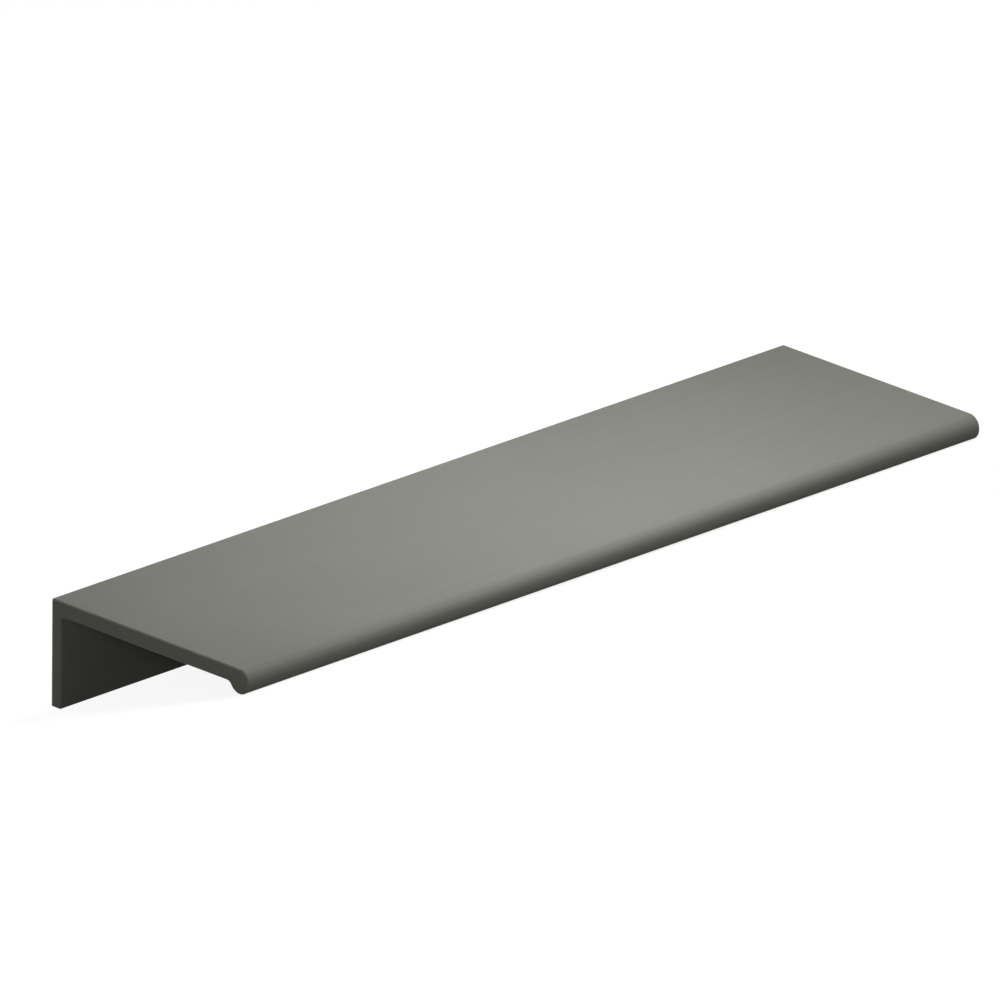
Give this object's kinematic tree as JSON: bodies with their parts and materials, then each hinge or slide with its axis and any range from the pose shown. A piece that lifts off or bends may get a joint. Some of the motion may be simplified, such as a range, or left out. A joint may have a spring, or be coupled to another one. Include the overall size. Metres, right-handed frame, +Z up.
{
  "type": "edge-mounted finger pull profile",
  "caption": "Slim angle-shaped finger pull: a flat flange with a round lip along its front and a low screw leg along its back.",
  "frame": {"origin": "on the surface the piece lies on, below the centre of its box", "axes": "+X along the profile, +Z up, +Y from the round lip towards the screw leg; the piece lies leg and lip down, so its flange slopes down towards the lip by about 19 degrees"},
  "size_m": [0.125, 0.0362, 0.0136],
  "materials": {
    "profile": "satin"
  },
  "bodies": {
    "root": {"finger_pull_profile": "profile"}
  },
  "joints": []
}
